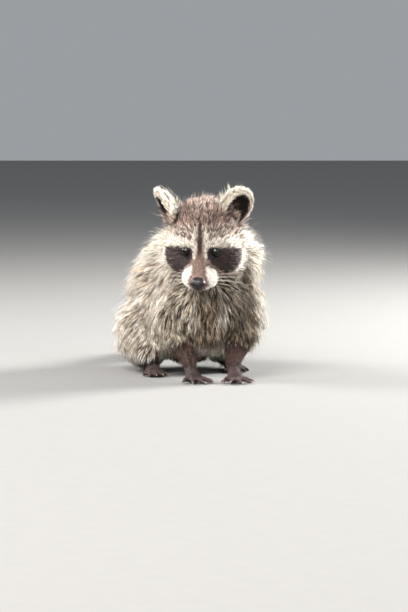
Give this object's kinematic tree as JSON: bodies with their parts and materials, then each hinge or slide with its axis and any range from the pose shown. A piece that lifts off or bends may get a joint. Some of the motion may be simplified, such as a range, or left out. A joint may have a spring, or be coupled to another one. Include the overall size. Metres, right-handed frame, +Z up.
{
  "type": "raccoon",
  "caption": "Young raccoon crouched on all fours at life size, head lowered, ears spread, ringed tail laid out behind; a still display model.",
  "frame": {"origin": "on the floor, under the middle of the model's box", "axes": "+Z up, the raccoon faces -Y, its own left side towards +X"},
  "size_m": [0.1634, 0.4006, 0.2131],
  "materials": {
    "body_coat": "dense soft fur, grizzled grey-brown with cream tips",
    "face_coat": "short fur, black-brown mask between white brow and muzzle",
    "ear_coat": "short cream fur, dark inside",
    "tail_coat": "bushy fur in light and dark rings, dark tip",
    "paw_skin": "creased dark skin with sparse short hair",
    "claw_horn": "smooth dark horn",
    "nose_leather": "moist pebbled black skin",
    "eye": "wet cornea over a near-black brown iris"
  },
  "bodies": {
    "root": {"head": "face_coat", "right_ear": "ear_coat", "left_ear": "ear_coat", "right_eye": "eye", "left_eye": "eye", "nose": "nose_leather", "neck": "body_coat", "trunk": "body_coat", "right_foreleg": "body_coat", "left_foreleg": "body_coat", "right_hind_leg": "body_coat", "left_hind_leg": "body_coat", "right_forepaw": "paw_skin", "left_forepaw": "paw_skin", "right_hind_foot": "paw_skin", "left_hind_foot": "paw_skin", "tail_base": "tail_coat", "tail_middle": "tail_coat", "tail_tip": "tail_coat"}
  },
  "joints": []
}
